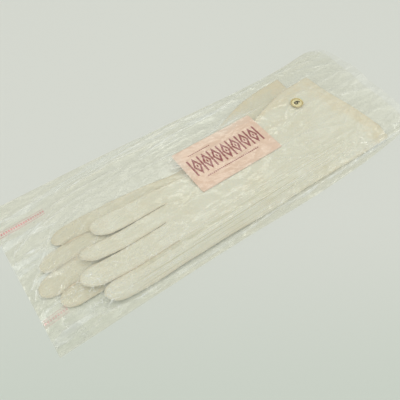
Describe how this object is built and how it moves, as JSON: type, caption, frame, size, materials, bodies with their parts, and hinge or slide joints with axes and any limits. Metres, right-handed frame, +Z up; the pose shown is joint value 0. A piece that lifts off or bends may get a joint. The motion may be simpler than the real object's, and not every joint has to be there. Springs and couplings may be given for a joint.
{
  "type": "pair of long leather dress gloves",
  "caption": "Pair of long ivory kid-leather dress gloves lying flat in a clear film sleeve, with a card and a size stud.",
  "frame": {"origin": "bottom centre of the sleeve, on the surface it lies on", "axes": "+X along the gloves from the fingertips to the arm openings and the sleeve's mouth, +Y from the index side to the little-finger side of the upper glove, +Z up through the stack"},
  "size_m": [0.4158, 0.157, 0.0109],
  "materials": {
    "kid": "fine-grained glove kid, soft sheen",
    "kid_inside": "unglazed kid, matt",
    "board": "thin pink card, uncoated",
    "gilt": "gilt metal, polished",
    "enamel": "lacquered disc, gloss",
    "film": "clear crinkled film"
  },
  "bodies": {
    "sleeve": {"sleeve_back_film": "film", "sleeve_front_film": "film"},
    "right_glove": {"right_fourchette_index_middle_a": "kid_inside", "right_fourchette_index_middle_b": "kid_inside", "right_fourchette_middle_ring_a": "kid_inside", "right_fourchette_middle_ring_b": "kid_inside", "right_fourchette_ring_little_a": "kid_inside", "right_fourchette_ring_little_b": "kid_inside", "right_hem": "kid_inside", "right_quirk_index_middle": "kid_inside", "right_quirk_middle_ring": "kid_inside", "right_quirk_ring_little": "kid_inside", "right_thumb": "kid", "right_thumb_quirk": "kid_inside", "right_trank": "kid", "size_stud_cup": "gilt", "size_stud_face": "enamel", "size_stud_washer": "gilt"},
    "left_glove": {"left_fourchette_index_middle_a": "kid_inside", "left_fourchette_index_middle_b": "kid_inside", "left_fourchette_middle_ring_a": "kid_inside", "left_fourchette_middle_ring_b": "kid_inside", "left_fourchette_ring_little_a": "kid_inside", "left_fourchette_ring_little_b": "kid_inside", "left_hem": "kid_inside", "left_quirk_index_middle": "kid_inside", "left_quirk_middle_ring": "kid_inside", "left_quirk_ring_little": "kid_inside", "left_thumb": "kid", "left_thumb_quirk": "kid_inside", "left_trank": "kid"},
    "card": {"card": "board"}
  },
  "joints": [
    {"name": "right_glove_slide", "type": "slide", "parent": "sleeve", "child": "right_glove", "axis": [1, 0, 0], "range_m": [0, 0.39]},
    {"name": "left_glove_slide", "type": "slide", "parent": "sleeve", "child": "left_glove", "axis": [1, 0, 0], "range_m": [0, 0.42]},
    {"name": "card_slide", "type": "slide", "parent": "right_glove", "child": "card", "axis": [1, 0, 0], "range_m": [-0.1, 0.044]}
  ]
}
